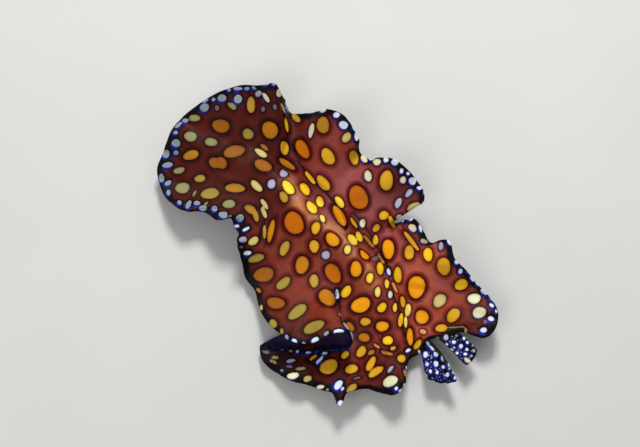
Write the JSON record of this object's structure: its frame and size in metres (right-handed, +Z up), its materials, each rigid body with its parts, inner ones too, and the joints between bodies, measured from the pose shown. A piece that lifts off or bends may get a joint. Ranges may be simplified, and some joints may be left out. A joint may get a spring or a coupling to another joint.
{
  "type": "leopard flatworm",
  "caption": "Still, life-size marine flatworm crawling on a flat sole, with a deeply ruffled mantle, a low ridge along the back and a pair of square tentacles at the front.",
  "frame": {"origin": "on the floor, under the middle of the box round the whole worm", "axes": "+Z up from the sole, -Y forward to the head and its tentacles, +X to the worm's own left"},
  "size_m": [0.0378, 0.0634, 0.0094],
  "materials": {
    "head_skin": "wet, smooth skin over soft flesh, red-brown with orange and yellow spots",
    "tentacle_skin": "wet, near-black thin flap with blue-fringed white dots",
    "back_skin": "wet skin, paler along the ridge, with close yellow and orange spots",
    "mantle_skin": "wet, thin, soft sheet, red-brown with dark-ringed orange spots and a black margin with blue-fringed white dots",
    "tail_skin": "wet, thin, soft sheet, darker red-brown with olive and orange spots and a white-dotted margin"
  },
  "bodies": {
    "root": {"head": "head_skin", "tentacle_right": "tentacle_skin", "tentacle_left": "tentacle_skin", "back_front": "back_skin", "back_middle": "back_skin", "back_rear": "back_skin", "mantle_left_front": "mantle_skin", "mantle_left_middle": "mantle_skin", "mantle_left_rear": "mantle_skin", "mantle_right_front": "mantle_skin", "mantle_right_fold": "mantle_skin", "mantle_right_middle": "mantle_skin", "mantle_right_rear": "mantle_skin", "tail_left": "tail_skin", "tail_middle": "tail_skin", "tail_right": "tail_skin"}
  },
  "joints": []
}
